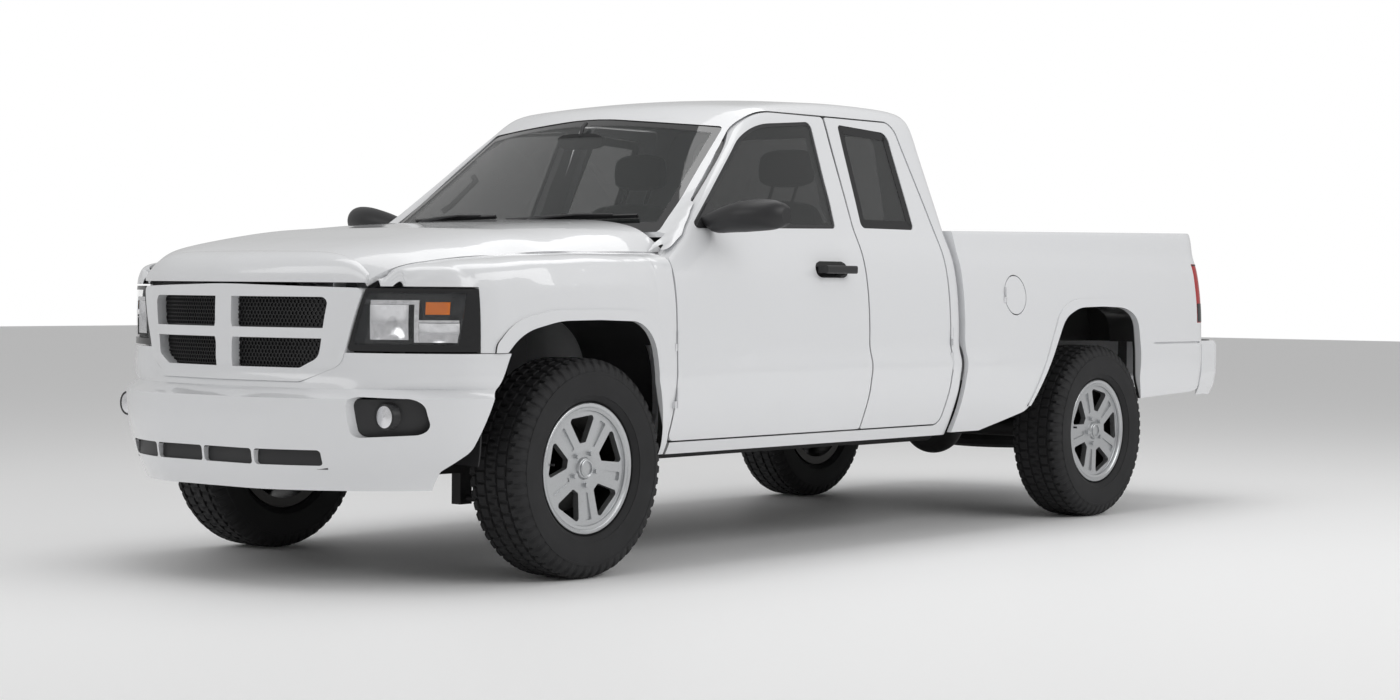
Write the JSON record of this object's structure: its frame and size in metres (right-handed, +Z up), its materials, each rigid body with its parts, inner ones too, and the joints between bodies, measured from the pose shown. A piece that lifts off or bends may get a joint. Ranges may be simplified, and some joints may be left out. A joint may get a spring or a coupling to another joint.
{
  "type": "pickup truck",
  "caption": "Extended-cab pickup truck with an open load bed, opening doors, hood and tailgate, and steered front wheels.",
  "frame": {"origin": "on the ground under the middle of the truck's length and width", "axes": "+X forward, +Y to the truck's left, +Z up"},
  "size_m": [5.558, 2.224, 1.7449],
  "materials": {
    "white_paint": "gloss",
    "black_plastic": "satin",
    "tinted_glass": "gloss",
    "lamp_reflector": "gloss",
    "clear_lens": "gloss",
    "red_lens": "gloss",
    "black_steel": "satin",
    "cast_metal": "matte",
    "steel_pipe": "satin",
    "interior_plastic": "matte",
    "seat_fabric": "matte",
    "tyre_rubber": "matte",
    "alloy": "satin"
  },
  "bodies": {
    "chassis": {"bedside_left": "white_paint", "bedside_right": "white_paint", "bumper_beam": "black_steel", "cab_shell": "white_paint", "control_arms": "black_steel", "cowl_panel": "black_plastic", "dashboard": "interior_plastic", "driveline": "black_steel", "engine_block": "cast_metal", "exhaust": "steel_pipe", "fender_left": "white_paint", "fender_right": "white_paint", "fog_lamps": "lamp_reflector", "frame_rails": "black_steel", "front_bumper": "white_paint", "front_seats": "seat_fabric", "fuel_tank": "black_steel", "grille_frame": "white_paint", "grille_mesh": "black_plastic", "headlamp_lenses": "clear_lens", "headlamps": "lamp_reflector", "leaf_springs": "black_steel", "load_bed": "white_paint", "radiator_support": "black_steel", "rear_axle": "black_steel", "rear_bench": "seat_fabric", "rear_bumper": "white_paint", "rear_window": "tinted_glass", "spare_hanger": "black_steel", "spare_wheel": "tyre_rubber", "tail_lamps": "red_lens", "wheel_liners": "black_plastic", "windscreen": "tinted_glass"},
    "door_left": {"door_left": "white_paint", "door_glass_left": "tinted_glass", "mirror_left": "black_plastic", "door_handle_left": "black_plastic"},
    "door_right": {"door_right": "white_paint", "door_glass_right": "tinted_glass", "mirror_right": "black_plastic", "door_handle_right": "black_plastic"},
    "rear_door_left": {"rear_door_left": "white_paint", "rear_door_glass_left": "tinted_glass"},
    "rear_door_right": {"rear_door_right": "white_paint", "rear_door_glass_right": "tinted_glass"},
    "hood": {"hood": "white_paint"},
    "tailgate": {"tailgate": "white_paint", "tailgate_handle": "black_plastic"},
    "fuel_door": {"fuel_door": "white_paint"},
    "knuckle_left": {"knuckle_left": "black_steel"},
    "knuckle_right": {"knuckle_right": "black_steel"},
    "steering_wheel": {"steering_wheel": "interior_plastic"},
    "wheel_front_left": {"tyre_front_left": "tyre_rubber", "rim_front_left": "alloy"},
    "wheel_front_right": {"tyre_front_right": "tyre_rubber", "rim_front_right": "alloy"},
    "wheel_rear_left": {"tyre_rear_left": "tyre_rubber", "rim_rear_left": "alloy"},
    "wheel_rear_right": {"tyre_rear_right": "tyre_rubber", "rim_rear_right": "alloy"}
  },
  "joints": [
    {"name": "door_left_hinge", "type": "hinge", "parent": "chassis", "child": "door_left", "pos_m": [1.397, 0.898, 0.7], "axis": [0, 0, -1], "range_deg": [0, 65]},
    {"name": "door_right_hinge", "type": "hinge", "parent": "chassis", "child": "door_right", "pos_m": [1.397, -0.898, 0.7], "axis": [0, 0, 1], "range_deg": [0, 65]},
    {"name": "rear_door_left_hinge", "type": "hinge", "parent": "chassis", "child": "rear_door_left", "pos_m": [-0.308, 0.909, 0.7], "axis": [0, 0, 1], "range_deg": [0, 90]},
    {"name": "rear_door_right_hinge", "type": "hinge", "parent": "chassis", "child": "rear_door_right", "pos_m": [-0.308, -0.909, 0.7], "axis": [0, 0, -1], "range_deg": [0, 90]},
    {"name": "hood_hinge", "type": "hinge", "parent": "chassis", "child": "hood", "pos_m": [1.336, 0, 1.207], "axis": [0, -1, 0], "range_deg": [0, 50]},
    {"name": "tailgate_hinge", "type": "hinge", "parent": "chassis", "child": "tailgate", "pos_m": [-2.4, 0, 0.812], "axis": [0, -1, 0], "range_deg": [0, 90]},
    {"name": "fuel_door_hinge", "type": "hinge", "parent": "chassis", "child": "fuel_door", "pos_m": [-0.7185, 0.895, 0.966], "axis": [0, 0, -1], "range_deg": [0, 90]},
    {"name": "steer_left", "type": "hinge", "parent": "chassis", "child": "knuckle_left", "pos_m": [1.824, 0.69, 0.374], "axis": [0, 0, 1], "range_deg": [-32, 32]},
    {"name": "steer_right", "type": "hinge", "parent": "chassis", "child": "knuckle_right", "pos_m": [1.824, -0.69, 0.374], "axis": [0, 0, 1], "range_deg": [-32, 32]},
    {"name": "steering_wheel_turn", "type": "hinge", "parent": "chassis", "child": "steering_wheel", "pos_m": [0.905, 0.375, 1.035], "axis": [-0.9135, 0, 0.4067], "range_deg": [-496, 496]},
    {"name": "wheel_front_left_spin", "type": "hinge", "parent": "knuckle_left", "child": "wheel_front_left", "pos_m": [1.824, 0.765, 0.374], "axis": [0, 1, 0], "continuous": true},
    {"name": "wheel_front_right_spin", "type": "hinge", "parent": "knuckle_right", "child": "wheel_front_right", "pos_m": [1.824, -0.765, 0.374], "axis": [0, 1, 0], "continuous": true},
    {"name": "wheel_rear_left_spin", "type": "hinge", "parent": "chassis", "child": "wheel_rear_left", "pos_m": [-1.511, 0.765, 0.374], "axis": [0, 1, 0], "continuous": true},
    {"name": "wheel_rear_right_spin", "type": "hinge", "parent": "chassis", "child": "wheel_rear_right", "pos_m": [-1.511, -0.765, 0.374], "axis": [0, 1, 0], "continuous": true}
  ],
  "couplings": [
    {"joint": "steer_right", "follows": "steer_left", "ratio": 1},
    {"joint": "steering_wheel_turn", "follows": "steer_left", "ratio": 15.5}
  ]
}
